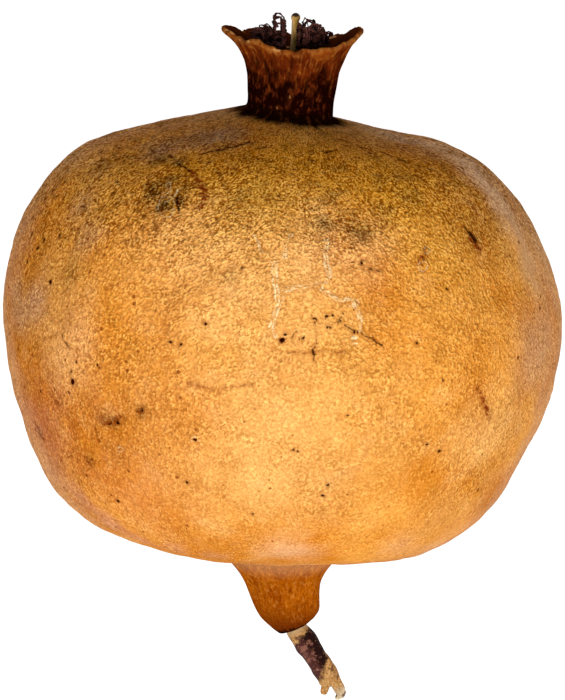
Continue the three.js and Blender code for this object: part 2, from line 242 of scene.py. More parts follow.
def closed_grid(points):
    """Vertices and faces of a skin over rings of points, closed at both ends."""
    rows, columns = points.shape[:2]
    ends = [points[0].mean(0), points[-1].mean(0)]
    vertices = np.vstack([points.reshape(-1, 3), ends])
    row = np.arange(rows - 1)[:, None] * columns
    here = np.arange(columns)[None, :]
    there = (here + 1) % columns
    quads = np.stack([row + here, row + there, row + columns + there, row + columns + here], -1)
    first, last = rows * columns, rows * columns + 1
    top = (rows - 1) * columns
    caps = [(first, (c + 1) % columns, c) for c in range(columns)]
    caps += [(last, top + c, top + (c + 1) % columns) for c in range(columns)]
    return vertices, quads.reshape(-1, 4).tolist() + caps


def joined(skins):
    """The vertices and the faces of several skins together."""
    vertices, faces = [], []
    for v, f in skins:
        faces += [[i + len(vertices) for i in face] for face in f]
        vertices += v.tolist()
    return np.array(vertices), faces


def in_scene(name, data):
    """A new object in the scene."""
    thing = bpy.data.objects.new(name, data)
    bpy.context.scene.collection.objects.link(thing)
    return thing


def new_mesh(name, vertices, faces):
    mesh = bpy.data.meshes.new(name)
    mesh.from_pydata([tuple(v) for v in vertices], [], faces)
    return mesh


def store(mesh, key, values, domain="POINT"):
    """Gives each point or face of a mesh a number or a vector."""
    kind, field = ("FLOAT_VECTOR", "vector") if np.ndim(values) == 2 else ("FLOAT", "value")
    layer = mesh.attributes.new(key, kind, domain)
    layer.data.foreach_set(field, np.ravel(values).astype(np.float32))


def make_piece(name, vertices, faces, slot, nodes, **attributes):
    """A smooth mesh object that rides on the body and stands for the CAD nodes."""
    mesh = new_mesh(name, vertices, faces)
    mesh.shade_smooth()
    for key, values in attributes.items():
        store(mesh, key, values)
    piece = in_scene(name, mesh)
    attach(piece, "root")
    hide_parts(*nodes)
    return piece


def tube(line, radii, sides):
    """Rings of a tube through a line of points, each with its own radius."""
    line = np.asarray(line, float)
    headings = np.gradient(line, axis=0)
    headings /= norm(headings, axis=1, keepdims=True)
    normal = np.array([0.0, 1.0, 0.0])
    angles = TURN * np.arange(sides) / sides
    across, aside = np.cos(angles)[:, None], np.sin(angles)[:, None]
    rings = []
    for centre, heading, radius in zip(line, headings, radii):
        normal = normal - heading * normal.dot(heading)
        normal /= norm(normal)
        sideways = np.cross(heading, normal)
        rings.append(centre + radius * across * normal + radius * aside * sideways)
    return np.array(rings)


# ---- the fruit's surface


def axis_shift(height):
    """How far the middle of the outline lies towards +x at a height."""
    height = np.asarray(height, float)
    lean = CROWN_LEAN * np.maximum(0, height - SHOULDER_HEIGHT)
    up = (CROWN_SHIFT + lean) * ease(height, SHOULDER_HEIGHT - 6, SHOULDER_HEIGHT + 1)
    down = np.maximum(0, BASE_HEIGHT - height) / (BASE_HEIGHT - NECK_OUTLINE[0][1])
    return np.where(height > 0, up, NECK_SHIFT * down**NECK_BEND)


def swelling_at(radius, height, around):
    """How far the swellings and hollows push the skin out."""
    latitude = np.degrees(np.arctan2(height, radius))
    rise = 0
    for side, middle, top in SWELLINGS:
        facing = np.maximum(0, np.cos(around - radians(side))) ** 2
        rise = rise + top * facing * np.exp(-(((latitude - middle) / SWELLING_SPREAD) ** 2))
    return rise * np.minimum(1, radius / SWELLING_FADE_RADIUS)


def body_point(angle, around):
    """The body's radius and height, where angle runs from -90 to 90 degrees up its outline."""
    side = np.cos(around)
    behind = (1 + np.sin(around)) / 2
    widest = WIDEST_HEIGHT - WIDEST_DROP_BEHIND * behind * np.sin(around) ** 2
    upper = angle > 0
    above = SHOULDER_FULLNESS - SHOULDER_FULLER_LEFT * side
    fullness = np.where(upper, above, BASE_FULLNESS - BASE_FULLER_LEFT * side)
    above = SHOULDER_HEIGHT - SHOULDER_TILT * side - widest
    reach = np.where(upper, above, widest - BASE_HEIGHT + BASE_TILT * side)
    out = np.cos(angle) ** (2 / fullness)
    up = np.sign(angle) * np.abs(np.sin(angle)) ** (2 / fullness)
    girth = HALF_WIDTH - DEPTH_LOSS * np.sin(around) ** 2
    lobes = LOBE_DEPTH * np.sin(LOBES * around)
    height = widest + reach * up
    belt = BELT_SWELL * np.cos(TURN * (height - BELT_MIDDLE) / BELT_SPACING)
    radius = (girth + lobes + belt) * out
    swelling = swelling_at(radius, height, around) / np.hypot(radius, height)
    dome = np.where(upper, DOME_RISE * np.exp(-((radius / DOME_RADIUS) ** 2)), 0)
    return radius * (1 + swelling), height * (1 + swelling) + dome


def angle_at_radius(radius, around, sign):
    """The angle at which the outline has come in to a radius, above or below its widest part."""
    near = np.zeros_like(around)
    far = np.full_like(around, pi / 2)
    for _ in range(HALVINGS):
        middle = (near + far) / 2
        outside = body_point(sign * middle, around)[0] > radius
        near, far = np.where(outside, middle, near), np.where(outside, far, middle)
    return sign * near


def wall_outline(around, waist_height, ragged=0.0):
    """Radii and heights up the calyx wall's outside, over its rim and down its inside."""
    shares = []
    for middle, _, wide, sharp, _, _ in SEPALS:
        away = np.abs((np.degrees(around) - middle + 180) % 360 - 180) / wide
        shares.append(np.where(away < 1, np.cos(np.minimum(away, 1) * pi / 2) ** sharp, 0))
    length = TUBE_LENGTH + sum(s * sepal[1] for s, sepal in zip(shares, SEPALS)) + ragged

    def bend_at(along):
        curl = sum(s * sepal[4] * ease(along, sepal[5], 1) for s, sepal in zip(shares, SEPALS))
        return TUBE_FLARE * along**FLARE_GROWTH + np.radians(curl)

    outside, inside = [], []
    radius = np.full_like(around, WAIST_RADIUS)
    height = np.zeros_like(around) + waist_height
    for step in range(WALL_STEPS + 1):
        along = step / WALL_STEPS
        bend = bend_at(along)
        wall = WALL_AT_WAIST + (WALL_AT_RIM - WALL_AT_WAIST) * along
        outside.append((radius, height))
        inside.append((radius - wall * np.cos(bend), height + wall * np.sin(bend)))
        stride = length / WALL_STEPS
        middle = bend_at(min(1, along + 0.5 / WALL_STEPS))
        radius = radius + stride * np.sin(middle)
        height = height + stride * np.cos(middle)
    outer, inner = np.array(outside[-1]), np.array(inside[-1])
    outward = np.array([np.sin(bend_at(1)), np.cos(bend_at(1))])
    crest = WALL_AT_RIM * RIM_ROUNDING
    rim = [
        tuple(outer + (inner - outer) * share + crest * sin(pi * share) * outward)
        for share in RIM_SHARES
    ]
    return outside + rim + inside[::-1]


def fruit_rows(around):
    """The rings of the fruit's skin, from the socket in the neck's end to the cup's floor.

    Each is its radius, its height, the x of its middle, its slant, and how far the ring lies along
    the neck, up the calyx and on an inside."""
    rows = []
    flat = np.zeros_like(around)

    def add(radius, height, neck=0, calyx=0, inside=0, middle=None, slant=0):
        height = flat + height
        middle = axis_shift(height) if middle is None else flat + middle
        rows.append((flat + radius, height, middle, slant, neck, calyx, inside))

    _, end_height, end_slant = NECK_OUTLINE[0]
    tilt = radians(end_slant)
    for radius, deep in SOCKET_OUTLINE:
        middle = NECK_SHIFT + SOCKET_OFFSET * cos(tilt) - deep * sin(tilt)
        height = end_height + SOCKET_OFFSET * sin(tilt) + deep * cos(tilt)
        add(radius, height, 1, 0, 1, middle, tilt)
    for at, (radius, height, slant) in enumerate(through(NECK_OUTLINE, NECK_ROWS)):
        add(radius, height, 1 - 0.75 * at / NECK_ROWS, slant=radians(max(0, slant)))

    lowest = angle_at_radius(NECK_TOP_RADIUS, around, -1)
    highest = angle_at_radius(WAIST_RADIUS + WAIST_FILLET, around, 1)
    for row in range(BODY_ROWS + 1):
        share = row / BODY_ROWS
        radius, height = body_point(lowest + (highest - lowest) * share, around)
        add(radius, height, max(0, 0.2 - 4 * share))
    top = rows[-1][1]
    for row in range(1, FILLET_ROWS):
        turn = pi / 2 * row / FILLET_ROWS
        radius = WAIST_RADIUS + WAIST_FILLET * (1 - sin(turn))
        add(radius, top + WAIST_FILLET * (1 - cos(turn)))

    ring = np.stack([np.cos(around), np.sin(around), flat], -1)
    ragged = lumps(ring * 9, 3.1, 0.6) + lumps(ring * 9, 0.8, 0.25)
    wall = wall_outline(around, top + WAIST_FILLET, ragged)
    first_inner = WALL_STEPS + 1 + len(RIM_SHARES)
    for at, (radius, height) in enumerate(wall):
        inner = at >= first_inner
        down = (at - first_inner) / WALL_STEPS if inner else 0
        up = 1 - down if at > WALL_STEPS else at / WALL_STEPS
        add(radius, height, calyx=max(up, 0.001), inside=inner)
    foot = WAIST_RADIUS - WALL_AT_WAIST
    for inward, up in ((0, 1.5), (0.2, 0.6), (0.7, 0.1), (1.5, 0)):
        add(foot - inward * CUP_ROUNDING, CUP_FLOOR + up * CUP_ROUNDING, calyx=0.001, inside=1)
    add(2, CUP_FLOOR, calyx=0.001, inside=1)
    return rows


def make_fruit():
    around = TURN * np.arange(COLUMNS) / COLUMNS
    rows = fruit_rows(around)
    radius, height, middle = (np.array([row[k] for row in rows]) for k in range(3))
    slant, neck, calyx, inside = (
        np.outer([row[k] for row in rows], np.ones(COLUMNS)) for k in range(3, 7)
    )
    out, y = radius * np.cos(around), radius * np.sin(around)
    points = np.stack([middle + out * np.cos(slant), y, height + out * np.sin(slant)], -1)

    # Skin coordinates: round the fruit, and along it from the neck
    steps = norm(np.diff(points, axis=0), axis=-1)
    travelled = np.vstack([np.zeros(COLUMNS), np.cumsum(steps, axis=0)])
    across, aside = (np.broadcast_to(way(around), out.shape) for way in (np.cos, np.sin))
    peel = np.stack([GRAIN_RADIUS * across, GRAIN_RADIUS * aside, travelled * GRAIN_STRETCH], -1)
    fibre = np.stack([FIBRE_RADIUS * across, FIBRE_RADIUS * aside, height], -1)

    normals = grid_normals(points)
    on_body = (calyx == 0) & (neck < 0.3) & (inside == 0)
    fade = ease(radius, 8, 16) * on_body
    push = fade * (lumps(points, 9, 0.34) + lumps(points, 4.2, 0.2) + lumps(points, 1.7, 0.09))
    ribs = lumps(fibre * [1, 1, 0.16], 0.75, 0.22) + lumps(fibre * [1, 1, 0.25], 1.9, 0.35)
    ribbed = ribs * (calyx > 0) * ease(calyx, 0, 0.15)
    push += ribbed * (1 - 0.6 * ease(calyx, 0.8, 1))
    push += 0.4 * ribs * ease(neck, 0.25, 0.5) * (inside == 0) * ease(radius, 2.6, 4)
    points = points + normals * push[..., None]

    vertices, faces = closed_grid(points)
    vertices = laid_down(vertices)
    vertices[:, 2] = np.maximum(vertices[:, 2], 0)

    def spread(values):
        """A value for each vertex, those in the middle of the two ends included."""
        ends = [values[:1].mean(1), values[-1:].mean(1)]
        return np.concatenate([values.reshape(-1, *values.shape[2:]), *ends])

    grids = {"neck": neck, "calyx": calyx, "inside": inside, "fibre": fibre, "peel": peel}
    attributes = {key: spread(grid) for key, grid in grids.items()}
    return make_piece("pomegranate_fruit", vertices, faces, "rind", ["fruit"], **attributes)


# ---- stalk


def fused(skins, fineness):
    """One skin round several closed ones that overlap."""
    rough = in_scene("overlapping", new_mesh("overlapping", *joined(skins)))
    remesh = rough.modifiers.new("fuse", "REMESH")
    remesh.mode, remesh.voxel_size = "VOXEL", fineness
    depsgraph = bpy.context.evaluated_depsgraph_get()
    whole = bpy.data.meshes.new_from_object(rough.evaluated_get(depsgraph))
    points = np.array([v.co for v in whole.vertices])
    normals = np.array([v.normal for v in whole.vertices])
    faces = [tuple(p.vertices) for p in whole.polygons]
    bpy.data.objects.remove(rough)
    return points, normals, faces


def make_stem():
    skins = []
    for knots, steps, sides in STALK_TUBES:
        line = through(knots, steps)
        skins.append(closed_grid(tube(line[:, :3], line[:, 3], sides)))
    points, normals, faces = fused(skins, STEM_FINENESS)

    # How far down the stalk each point is, and how far to its right-hand side
    middle = through(STALK_LINE, STEM_SEARCH_STEPS)[:, :3]
    top = np.array(STALK_LINE[1][:3])
    heading = (middle[-1] - top) / norm(middle[-1] - top)
    along = (points - top) @ heading / ((np.array(LONG_PRONG[-1][:3]) - top) @ heading)
    nearest = middle[norm(points[:, None] - middle[None], axis=-1).argmin(1)]
    side = (points - nearest) @ np.array(STALK_RIGHT_HAND)

    grain = points - np.outer(points @ heading, heading) * 0.75
    outside = ease(along, 0, 0.12)
    torn = ease(along, 0.8, 1.0)
    push = lumps(points, 2.1, 0.3) + lumps(grain, 0.7, 0.22) + torn * lumps(points, 0.5, 0.3)
    points = points + normals * (outside * push)[:, None]
    piece = ("pomegranate_stem", laid_down(points), faces, "stalk_wood", ["stem"])
    return make_piece(*piece, along=along, side=side)


# ---- stamens and style


def random_from(seed):
    """Picks numbers between two limits, the same ones in every run."""
    state = seed

    def pick(low, high):
        nonlocal state
        state = (state * 1664525 + 1013904223) % 2**32
        return low + (high - low) * state / 2**32

    return pick


def on_axis(around, radius, height):
    """A point at a distance from the crown's own middle line."""
    x = float(axis_shift(height)) + radius * cos(around)
    return np.array([x, radius * sin(around), height])


def parted(x, height, before):
    """Keeps a place across the bunch on its own side of the gaps, which widen upwards."""
    for low, high, start in PARTINGS:
        half = (high - low) / 2 * float(ease(height, start - 1.5, start))
        middle = (low + high) / 2
        x = max(x, middle + half) if before > middle else min(x, middle - half)
    return x


def make_stamens():
    directions = TURN * np.arange(CUP_DIRECTIONS) / CUP_DIRECTIONS
    wall = wall_outline(directions, CUP_FLOOR + BED_HEIGHT)[-WALL_STEPS - 1 :]
    wall_radius, wall_height = np.swapaxes(wall, 0, 1)[:, ::-1]

    def kept_clear(point, own_radius, before):
        """The point, moved clear of the cup's wall, of the style and of the gaps."""
        shift = float(axis_shift(point[2]))
        x = parted(point[0] - shift, point[2], before[0] - shift)
        turn = atan2(point[1], x)
        at = int(round((turn % TURN) / TURN * CUP_DIRECTIONS)) % CUP_DIRECTIONS
        room = FREE_RADIUS + STAMEN_RADIUS + GAP
        if point[2] < wall_height[-1, at]:
            room = min(room, float(np.interp(point[2], wall_height[:, at], wall_radius[:, at])))
        least = STIGMA_FLARE * STYLE_RADIUS + GAP + own_radius
        radius = min(max(hypot(x, point[1]), least), room - own_radius - GAP)
        return on_axis(turn, radius, point[2])

    floor = CUP_FLOOR + GAP
    pick = random_from(STAMEN_SEED)
    fine = random_from(STAMEN_SEED + 1)
    skins, anther = [], []

    def any_way(size):
        return np.array([fine(-size, size) for _ in range(3)])

    def add(points, share):
        skins.append(closed_grid(points))
        anther.extend([share] * len(skins[-1][0]))

    def add_crumb(middle, size):
        """A shrivelled scrap of an anther."""
        way = any_way(1.0)
        way *= size * fine(0.7, 1.3) / max(norm(way), 0.1)
        swell = size * np.sqrt(np.maximum(0.05, 1 - np.linspace(-1, 1, 6) ** 2))
        scrap = tube(through([middle - way, middle + any_way(0.1), middle + way], 5), swell, 7)
        push = lumps(scrap, 0.3, 0.35)[..., None] * (scrap - middle)
        add(scrap + push, fine(0.4, 1.0))

    for number in range(STAMEN_COUNT):
        around = TURN * (number + pick(*STAMEN_SCATTER)) / STAMEN_COUNT
        rise, hook = pick(*STAMEN_RISE), pick(*HOOK_LENGTH)
        hook_turn, hook_side = 1 / pick(*HOOK_RADIUS), pick(0, TURN)
        lean = radians(pick(*STAMEN_LEAN))
        root = on_axis(around, pick(*STAMEN_ROOT_RADII), floor + 0.5 * BED_HEIGHT)
        for _ in range(STRANDS_A_STAMEN):
            own = fine(0.12, 0.2)
            point = root + [fine(-0.3, 0.3), fine(-0.3, 0.3), 0]
            tilt = lean + radians(fine(-4, 4))
            out = sin(tilt)
            heading = Vector((out * cos(around), out * sin(around), cos(tilt)))
            length, curl = rise * fine(0.84, 1.03), hook * fine(0.7, 1.1)
            side = hook_side + fine(-0.7, 0.7)
            bend = Quaternion((cos(side), sin(side), 0), curl * hook_turn / HOOK_STEPS)
            line = [point.copy()]
            for step in range(RISE_STEPS + HOOK_STEPS):
                rising = step < RISE_STEPS
                if not rising:
                    heading.rotate(bend)
                stride = length / RISE_STEPS if rising else curl / HOOK_STEPS
                point = point + np.array(heading) * stride
                line.append(kept_clear(point + any_way(0.2 if rising else 0.13), own, line[-1]))
            line = through(line, 2 * len(line))
            radii = own * np.array([fine(0.65, 1.25) for _ in line])
            add(tube(line, radii * np.linspace(1.2, 0.8, len(line)), 5), 0.0)
            add_crumb(line[-1], fine(0.3, 0.48))
            for _ in range(CRUMBS_A_STRAND):
                at = line[int(fine(0.5, 0.99) * len(line))]
                add_crumb(at + any_way(0.15), fine(0.14, 0.34))

    section = [
        (BED_INNER_RADIUS, floor),
        (BED_OUTER_RADIUS - 0.9, floor),
        (BED_OUTER_RADIUS, floor + 0.6 * BED_HEIGHT),
        (BED_OUTER_RADIUS - 0.5, floor + BED_HEIGHT),
        (BED_INNER_RADIUS, floor + 0.7 * BED_HEIGHT),
    ]
    bed = [[on_axis(turn, r, h) for turn in directions] for r, h in through(section, BED_STEPS)]
    add(np.array(bed), 0.3)

    vertices, faces = joined(skins)
    up = (vertices[:, 2] - CUP_FLOOR) / (STYLE_TOP - CUP_FLOOR)
    piece = ("pomegranate_stamens", laid_down(vertices), faces, "dry_filament", ["stamens"])
    return make_piece(*piece, anther=np.array(anther), up=up)


def make_style():
    foot = CUP_FLOOR + GAP
    stigma = STYLE_TOP - STIGMA_LENGTH
    outline = [
        (1.2, foot),
        (1.05, (foot + stigma) / 2),
        (0.95, stigma),
        (STIGMA_FLARE, stigma + 0.6),
        (STIGMA_FLARE, STYLE_TOP - 0.5),
        (0.7, STYLE_TOP - 0.1),
        (0.25, STYLE_TOP),
    ]
    rows = through(outline, STYLE_STEPS)
    line = [on_axis(0, 0, h) for _, h in rows]
    points = tube(line, rows[:, 0] * STYLE_RADIUS, STYLE_SIDES)
    points = points + grid_normals(points) * lumps(points * [1, 1, 0.3], 0.4, 0.06)[..., None]
    vertices, faces = closed_grid(points)
    along = (vertices[:, 2] - foot) / (STYLE_TOP - foot)
    piece = ("pomegranate_style", laid_down(vertices), faces, "dry_style", ["style"])
    return make_piece(*piece, along=along)


# ---- camera, light and floor


def picture_point(across, down, tree):
    """Where the line of sight through a pixel of the picture meets the skin, in millimetres."""
    sight = Vector((across - PICTURE[0] / 2, PICTURE[1] / 2 - down, 0)) * PIXEL_AT_CENTRE
    sight.z = -CAMERA_DISTANCE
    return tree.ray_cast(camera_place() / MM, sight.normalized())[0]


def camera_place():
    return Vector((CAMERA_X, CAMERA_Y, CENTRE_ABOVE_SURFACE + CAMERA_DISTANCE)) * MM


def make_camera():
    data = bpy.data.cameras.new("camera")
    data.sensor_width = SENSOR
    data.lens = SENSOR * CAMERA_DISTANCE / (PICTURE[1] * PIXEL_AT_CENTRE)
    data.clip_start, data.clip_end = CLIP
    camera = in_scene("camera", data)
    camera.location = camera_place()
    bpy.context.scene.camera = camera


def set_inputs(node, values):
    for key, value in values.items():
        node.inputs[key].default_value = value


def make_studio():
    """One square light turned to the fruit, even surroundings and a white floor."""
    light = bpy.data.lights.new("key", "AREA")
    light.size, light.energy, light.color = KEY_SIZE, KEY_POWER, KEY_COLOUR
    key = in_scene("key", light)
    key.location = KEY_PLACE
    aim = Vector((0, 0, CENTRE_ABOVE_SURFACE * MM)) - Vector(KEY_PLACE)
    key.rotation_mode = "QUATERNION"
    key.rotation_quaternion = aim.to_track_quat("-Z", "Y")

    world = bpy.data.worlds.new("studio")
    bpy.context.scene.world = world
    world.use_nodes = True
    background = world.node_tree.nodes["Background"]
    set_inputs(background, {"Color": (1, 1, 1, 1), "Strength": SURROUNDINGS})

    corners = np.array([(-1, -1, 0), (1, -1, 0), (1, 1, 0), (-1, 1, 0)]) * FLOOR_REACH
    floor = in_scene("floor", new_mesh("floor", corners, [(0, 1, 2, 3)]))
    floor.location.z = -FLOOR_DROP
    paint = bpy.data.materials.new("floor_white")
    paint.use_nodes = True
    shader = paint.node_tree.nodes["Principled BSDF"]
    set_inputs(shader, {"Base Color": (*[FLOOR_GREY] * 3, 1), "Roughness": 0.9})
    set_inputs(shader, {"Emission Color": (1, 1, 1, 1), "Emission Strength": FLOOR_GLOW})
    floor.data.materials.append(paint)
    bpy.context.scene.view_settings.view_transform = "Standard"


# ---- material helpers


def colour(text):
    """A colour as the eye reads it, such as d9944a, in the linear values that a shader takes."""
    parts = [int(text[i : i + 2], 16) / 255 for i in (0, 2, 4)]
    return np.array([p / 12.92 if p <= 0.04045 else ((p + 0.055) / 1.055) ** 2.4 for p in parts])


class Field:
    """A number that varies over a surface: the output of a node, with arithmetic on it."""

    def __init__(self, shade, socket):
        self.shade, self.socket = shade, socket

    def __add__(self, other):
        return self.shade.math("ADD", self, other)

    def __sub__(self, other):
        return self.shade.math("SUBTRACT", self, other)

    def __rsub__(self, other):
        return self.shade.math("SUBTRACT", other, self)

    def __mul__(self, other):
        return self.shade.math("MULTIPLY", self, other)


class Shade:
    """A material under construction: most methods add a node and return its output."""

    def __init__(self, name, roughness, specular):
        self.material = bpy.data.materials.new(name)
        self.material.use_nodes = True
        self.nodes = self.material.node_tree.nodes
        self.links = self.material.node_tree.links
        self.shader = self.nodes["Principled BSDF"]
        set_inputs(self.shader, {"Roughness": roughness, "Specular IOR Level": specular})
        place = Field(self, self.node("TexCoord").outputs["Object"])
        self.mm = self.vector("SCALE", place, scale=1 / MM)

    def put(self, socket, value):
        """Links a field to a socket, or sets the socket to a value."""
        if isinstance(value, Field):
            self.links.new(value.socket, socket)
        else:
            socket.default_value = (*colour(value), 1) if isinstance(value, str) else value

    def node(self, kind, inputs=(), **settings):
        """A new node with its settings and with what goes into its sockets."""
        node = self.nodes.new("ShaderNode" + kind)
        for key, value in settings.items():
            setattr(node, key, value)
        for key, value in dict(inputs).items():
            if value is not None:
                self.put(node.inputs[key], value)
        return node

    def math(self, operation, a, b, clamp=False):
        node = self.node("Math", {0: a, 1: b}, operation=operation, use_clamp=clamp)
        return Field(self, node.outputs[0])

    def vector(self, operation, a, b=None, scale=None):
        node = self.node("VectorMath", {0: a, 1: b, "Scale": scale}, operation=operation)
        return Field(self, node.outputs[1 if operation in ("DISTANCE", "DOT_PRODUCT") else 0])

    def ramp(self, value, low, high, start=0.0, end=1.0):
        """From start to end, smoothly, while value goes from low to high."""
        given = enumerate((value, low, high, start, end))
        return Field(self, self.node("MapRange", given, interpolation_type="SMOOTHSTEP").outputs[0])

    def mix(self, share, a, b, how="MIX"):
        node = self.node("Mix", {0: share, 6: a, 7: b}, data_type="RGBA", blend_type=how)
        return Field(self, node.outputs[2])

    def coats(self, base, *over):
        """A base with coats over it, one by one: how much of each shows, and its colour."""
        for share, tint in over:
            base = self.mix(share, base, tint)
        return base

    def noise(self, at, spacing, detail=2.0, rough=0.5):
        given = {"Vector": at, "Scale": 1 / spacing, "Detail": detail, "Roughness": rough}
        return Field(self, self.node("TexNoise", given).outputs[0])

    def jolted(self, start, at, spacing, reach, detail=2.0):
        """The start, pushed about by a noise of its own in each direction."""
        pushes = Field(self, self.noise(at, spacing, detail).socket.node.outputs[1])
        pushes = self.vector("SUBTRACT", pushes, (0.5, 0.5, 0.5))
        return self.vector("ADD", start, self.vector("SCALE", pushes, scale=reach))

    def cells(self, at, spacing):
        """How far the middle of the nearest scattered cell is, and a colour of that cell's own."""
        node = self.node("TexVoronoi", {"Vector": at, "Scale": 1 / spacing})
        return Field(self, node.outputs["Distance"]), Field(self, node.outputs["Color"])

    def stored(self, *names, output="Fac"):
        """The values that the mesh carries under each of the names."""
        nodes = [self.node("Attribute", attribute_name=name) for name in names]
        return [Field(self, node.outputs[output]) for node in nodes]

    def channel(self, field, index):
        return Field(self, self.node("SeparateXYZ", {0: field}).outputs[index])

    def finish(self, base, height, strength):
        """Colour, and relief in millimetres."""
        bump = self.node("Bump", {"Strength": strength, "Distance": MM, "Height": height})
        self.put(self.shader.inputs["Base Color"], base)
        self.links.new(bump.outputs[0], self.shader.inputs["Normal"])
        return self.material


# ---- rind

GROUND_DARK, GROUND_LIGHT, EDGE_SHEEN = "d27c1c", "eea044", "daa682"
BLACK, OLIVE, REDDISH = "2c0500", "382806", "7e2c06"
PALE, TORN_SKIN_AND_GLINT = "ffe6b0", "c89058"
RING_SIDES = 12
MARK_MARGIN = 2
HALO_WIDTH = 0.3
MARK_FIELDS = ("start", "along", "measure", "tint")
ROUGH_LIMITS = (0.25, 2.6)
# Soft areas, the largest first: pixel across and down, radius, colour, strength in percent.
# The pale greys and pinks along the shoulder and round the outline are painted sheen; the large
# pale area low in the middle is partly the rind's own paler colour and partly a painted highlight.
AREAS = [
    (262, 440, 24, "fbc072", 70), (270, 262, 15, "f4b66e", 70), (188, 260, 14, "fcb86a", 70),
    (118, 178, 14, "e09c38", 55), (108, 298, 13, "faa848", 60), (300, 165, 13, "f4a014", 85),
    (400, 188, 13, "f4a41e", 80), (46, 430, 13, "ba6444", 74), (130, 500, 13, "d98448", 50),
    (480, 225, 13, "b87e34", 45), (392, 440, 13, "cc8638", 50), (262, 222, 12, "ffbc64", 50),
    (45, 300, 12, "cc9656", 42), (440, 255, 11, "ecaa50", 45), (540, 355, 11, "d6a67c", 65),
    (488, 435, 10, "f6ba70", 65), (250, 195, 9, "f2ae34", 60), (350, 250, 9, "fab878", 45),
    (440, 262, 9, "f4ae44", 35), (110, 420, 9, "bc6a20", 45), (185, 415, 9, "da8634", 55),
    (68, 352, 9, "f4b478", 55), (200, 168, 8, "e4960e", 70), (440, 518, 8, "d08e4c", 60),
    (540, 245, 7, "d8a468", 50), (218, 137, 6, "9e7c6c", 75), (18, 310, 6, "c29876", 50),
    (290, 552, 6, "f6be90", 65), (460, 158, 6, "d8b290", 80), (483, 178, 6, "dab698", 80),
    (501, 203, 6, "cea684", 80), (518, 235, 6, "cea47e", 70), (165, 149, 5, "9e7c6c", 70),
    (400, 545, 5, "e0a47c", 40), (393, 136, 5, "eccab0", 85), (430, 144, 5, "dcb89c", 75),
    (528, 268, 5, "cca47c", 55), (100, 168, 4.5, "bc8c5c", 45), (82, 205, 4, "b4886c", 55),
    (88, 238, 4, "b08468", 50), (36, 300, 4, "b88c74", 55), (83, 499, 3.5, "d49074", 60),
    (107, 521, 3.5, "dc9a7a", 60), (140, 539, 3.5, "dc9a78", 55), (175, 549, 3.5, "dc9a78", 50),
    (410, 193, 3.5, OLIVE, 35), (240, 200, 3.5, OLIVE, 35), (212, 556, 3, "e0a078", 45),
    (70, 270, 3, OLIVE, 40), (384, 212, 2.6, OLIVE, 30), (92, 398, 2.4, "bc6c30", 45),
    (230, 275, 2.4, OLIVE, 30), (166, 205, 2.3, OLIVE, 90), (58, 398, 2.2, "b4602c", 55),
    (155, 188, 2.2, OLIVE, 75), (362, 232, 2.2, OLIVE, 60), (162, 160, 2.1, OLIVE, 70),
    (36, 452, 2, "a85a34", 55), (75, 428, 2, "ac5820", 60), (345, 228, 2, OLIVE, 35),
    (474, 240, 1.9, "7a4010", 80), (324, 224, 1.9, OLIVE, 60), (328, 199, 1.8, OLIVE, 40),
    (152, 195, 1.7, OLIVE, 75), (178, 163, 1.7, OLIVE, 70), (172, 179, 1.6, OLIVE, 60),
    (40, 433, 1.6, OLIVE, 60), (90, 461, 1.6, OLIVE, 45), (103, 419, 1.5, "84400f", 90),
    (179, 201, 1.5, OLIVE, 100), (114, 422, 1.3, "54240a", 90), (141, 412, 1.1, "5a2a0a", 90),
    (124, 418, 1, "7e4414", 70),
]
# Where the grain stands out more, or less: pixel across and down, radius, how much
ROUGHER = [
    (168, 190, 7, 1.1), (240, 222, 6, 0.3), (335, 235, 7, 0.5), (430, 143, 5, -0.9),
    (458, 158, 5, -0.9), (480, 178, 6, -0.9), (498, 204, 6, -0.7), (515, 236, 6, -0.6),
    (532, 270, 6, -0.4),
]
# Dark spots: pixel across and down, radius
SPOTS = [
    (282, 340, 0.42), (285, 334, 0.27), (304, 338, 0.26), (300, 339, 0.14), (315, 319, 0.36),
    (326, 317, 0.27), (333, 315, 0.24), (327, 327, 0.22), (330, 327, 0.22), (340, 321, 0.28),
    (354, 332, 0.26), (357, 333, 0.24), (343, 314, 0.14), (362, 263, 0.26), (242, 269, 0.22),
    (73, 382, 0.42), (76, 362, 0.24), (97, 365, 0.26), (71, 371, 0.18), (41, 392, 0.24),
    (39, 405, 0.15), (170, 342, 0.24), (181, 345, 0.28), (206, 324, 0.3), (142, 411, 0.32),
    (187, 482, 0.32), (253, 514, 0.24), (118, 501, 0.3), (118, 422, 0.3), (112, 425, 0.22),
    (417, 343, 0.27), (518, 358, 0.24), (427, 444, 0.24), (439, 451, 0.24), (478, 490, 0.28),
    (323, 495, 0.3), (328, 485, 0.2), (293, 450, 0.2), (298, 451, 0.2), (347, 415, 0.2),
    (443, 381, 0.2), (519, 243, 0.26), (510, 256, 0.2), (447, 289, 0.22), (540, 308, 0.26),
    (541, 297, 0.2), (195, 440, 0.35), (32, 234, 0.3), (38, 248, 0.34), (27, 262, 0.3),
    (50, 282, 0.34), (60, 235, 0.28), (44, 240, 0.3), (370, 153, 0.34),
]
